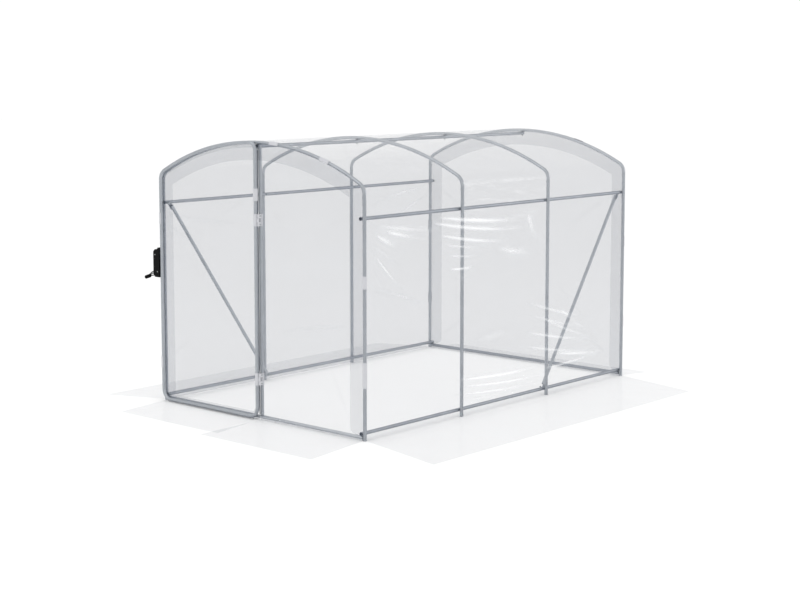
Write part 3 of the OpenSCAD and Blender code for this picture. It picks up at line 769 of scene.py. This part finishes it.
right, left = middle + half_w, middle - half_w
front_clips = joined(
    upright_clips([(right, front_y, 0.395), (right, front_y, 0.4805), (right, front_y, 1.05)], -45),
    upright_clips([(left, front_y, 1.22)], 225),
    arch_clips([0.170, 0.646], front_y, -1.0))
hoop_wrap, leaf_wrap = math.radians(68), math.radians(80)
points, faces = snap_clips(*front_clips, hoop_wrap)
clips_front = new_piece("front_hoop_clips", points, faces, clip_plastic)
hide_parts("clips_front_hoop")
back_clips = joined(
    upright_clips([(right, back_y, 0.44), (right, back_y, 1.08)], 45),
    upright_clips([(left, back_y, 0.44), (left, back_y, 1.08)], 135),
    arch_clips([-0.56, 0.56], back_y, 1.0))
points, faces = snap_clips(*back_clips, hoop_wrap)
clips_back = new_piece("back_hoop_clips", points, faces, clip_plastic)
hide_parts("clips_back_hoop")
leaf_clips = joined(
    upright_clips([(door_left + middle, door_y, 0.290), (door_left + middle, door_y, 1.350)], 225),
    upright_clips([(door_right + middle, door_y, 1.575)], -45))
points, faces = snap_clips(*leaf_clips, leaf_wrap)
clips_leaf = new_piece("door_clips", points, faces, clip_plastic, body="door")
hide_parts("clips_door")


# ---- Hinges ---------------------------------------------------------------------------
# Two hinges: plastic clamps round the post and round the door's upright, with knuckles
# on a steel pin.

finish_nodes(clip_plastic, "hinge_post_clamps", "hinge_door_clamps")

# Each clamp is nipped up by two screws through the arm between its tube and the pin
pin_low, pin_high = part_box("hinge_pins")
pin_x, pin_y = (pin_low.x + pin_high.x) / 2, (pin_low.y + pin_high.y) / 2
hinge_z = [0.290, 1.400]
arm_x, arm_y, screw_step = 0.003, 0.016, 0.030
places = [(pin_x + arm_x, pin_y + arm_y, z + step) for z in hinge_z for step in (-screw_step, screw_step)]
points, faces = turned(places, [(1, 0, 0)] * len(places), screw)
clamp_screws = new_piece("hinge_clamp_screws", points, faces, zinc_plate, smooth=False)

# A dark strip fills the gap between door and post as painted shade, and bows out round the
# clamps. It is matt, and lighter grey in clouds 17 mm wide
gap_shade_material, tree, place = new_material("dark_gap_shade_strip")
chalk = add(tree, "TexNoise", {"Vector": place, "Scale": 60.0, "Detail": 4.0})
matt = add(tree, "MapRange", {"Value": chalk.outputs["Fac"], "To Min": 0.55, "To Max": 0.75})
finish_with(tree, add(tree, "BsdfPrincipled", {
    "Base Color": two_tone(tree, chalk.outputs["Fac"], "5a606a", "6e747e"),
    "Roughness": matt.outputs["Result"], "Specular IOR Level": 0.3}))


def carried(path, first, second, section):
    """A closed section carried along a path: each point of the path plus u × first + v × second for
    every u, v of the section, scaled by the section's third number, one for each point of the path."""
    path, first, second = (np.asarray(v, float) for v in (path, first, second))
    u, v, scale = section
    flat = u[:, None] * first[:, None] + v[:, None] * second[:, None]
    points = path[:, None] + np.asarray(scale, float)[:, None, None] * flat
    steps, around = points.shape[:2]
    loop = np.arange(around)
    return points.reshape(-1, 3), [ring_faces(steps, around), np.stack([loop[::-1], (steps - 1) * around + loop])]


up = np.linspace(post_low.z + 0.004, post_high.z - 0.035, 260)
bow_out, bow_half, off_post, before_post = 0.0055, 0.052, 0.0065, 0.006
bow = sum(bow_out * np.exp(-np.abs((up - z) / bow_half) ** 6) for z in hinge_z)
path = np.stack([post_x + middle - tube_r - off_post - bow, front_y - before_post + 0 * up, up], axis=1)
# Its section is a rounded bar 8.2 by 3.6 mm
bead = np.arange(20) * 2 * np.pi / 20
wide = 0.0041 * np.sign(np.cos(bead)) * np.abs(np.cos(bead)) ** 0.6
thin = 0.0018 * np.sign(np.sin(bead)) * np.abs(np.sin(bead)) ** 0.6
points, faces = carried(path, [(1, 0, 0)] * len(up), [(0, 1, 0)] * len(up), (wide, thin, 1 + 0 * up))
gap_shade_strip = new_piece("gap_shade_strip", points, faces, gap_shade_material)


# ---- Latch ----------------------------------------------------------------------------
# A black plastic latch on the door's outer upright catches a keeper on the first leg.
# A looped wire with a grip hangs from its foot.

# Moulded black nylon with a 1 mm spark grain: deep black, with hardly a shine
black_plastic, tree, place = new_material("black_latch_plastic")
grain = add(tree, "TexNoise", {"Vector": place, "Scale": 900.0, "Detail": 2.0})
relief = add(tree, "Bump", {"Height": grain.outputs["Fac"], "Strength": 0.3, "Distance": 0.0004})
finish_with(tree, add(tree, "BsdfPrincipled", {
    "Base Color": two_tone(tree, grain.outputs["Fac"], "040405", "0b0c0d"),
    "Roughness": 0.55, "Specular IOR Level": 0.08, "Normal": relief.outputs["Normal"]}))
finish_nodes(black_plastic, "latch_case", "latch_keeper")

# Two pan-headed screws hold the case's front cover
case_low, case_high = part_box("latch_case")
pan = [
    (0.0, -0.001, 0), (0.0042, -0.001, 0), (0.0044, 0.0006, 0),
    (0.0036, 0.0019, 0), (0.0018, 0.0025, 0), (0.0, 0.0026, 0)]
case_x = (case_low.x + case_high.x) / 2
places = [(case_x + aside, case_low.y, case_low.z + up) for aside, up in ((-0.012, 0.165), (0.012, 0.040))]
points, faces = turned(places, [(0, -1, 0)] * 2, pan)
case_screws = new_piece("latch_case_screws", points, faces, zinc_plate, body="door", smooth=False)

# The pull: three black-coated wires bent down and out of the case's foot into a moulded grip
circle = np.arange(20) * 2 * np.pi / 20
foot = np.array([case_low.x, (case_low.y + case_high.y) / 2, case_low.z])
tip = foot + [-0.050, -0.026, -0.001]
aim = np.array([-62.0, -30.0, -24.0]) / np.linalg.norm([62, 30, 24])
grip_half, grip_r, wire_r = 0.024, 0.0132, 0.0036
grip_t = np.concatenate([[-1, -0.995, -0.975, -0.94], np.linspace(-0.9, 0.9, 37), [0.94, 0.975, 0.995, 1]])
# The grip is rounded at both ends and swells by a twentieth three times along it
grip_swell = grip_r * np.clip(1 - np.abs(grip_t) ** 10, 0.02, 1) ** 0.3 * (1 + 0.05 * np.cos(6 * np.pi * grip_t))
rods = [(tip + grip_half * grip_t[:, None] * aim, grip_swell)]
t = np.linspace(0, 1, 25)[:, None]
for root, share in (((0.003, -0.008, 0.041), -0.1), ((0.003, 0.008, 0.033), -0.4), ((0.006, 0.0, 0.012), -0.7)):
    root, end = foot + root, tip + 0.022 * share * aim
    # A quadratic bow: it leaves the case nearly level and turns down into the grip
    knee = root + [-0.020, -0.008, -0.003]
    rods.append(((1 - t) ** 2 * root + 2 * t * (1 - t) * knee + t ** 2 * end, wire_r + 0 * t[:, 0]))
all_points, all_faces, used = [], [], 0
for line, radius in rods:
    ahead = np.gradient(line, axis=0)
    ahead /= np.linalg.norm(ahead, axis=1, keepdims=True)
    across = np.cross(ahead, [0.0, 0.0, 1.0])
    across /= np.linalg.norm(across, axis=1, keepdims=True)
    points, (sides, caps) = carried(line, across, np.cross(ahead, across), (np.cos(circle), np.sin(circle), radius))
    all_points.append(points)
    all_faces += [sides + used, caps + used]
    used += len(points)
latch_wires = new_piece(
    "latch_pull_wires", np.concatenate(all_points), all_faces, black_plastic, body="door")
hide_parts("latch_pull")


low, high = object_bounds()
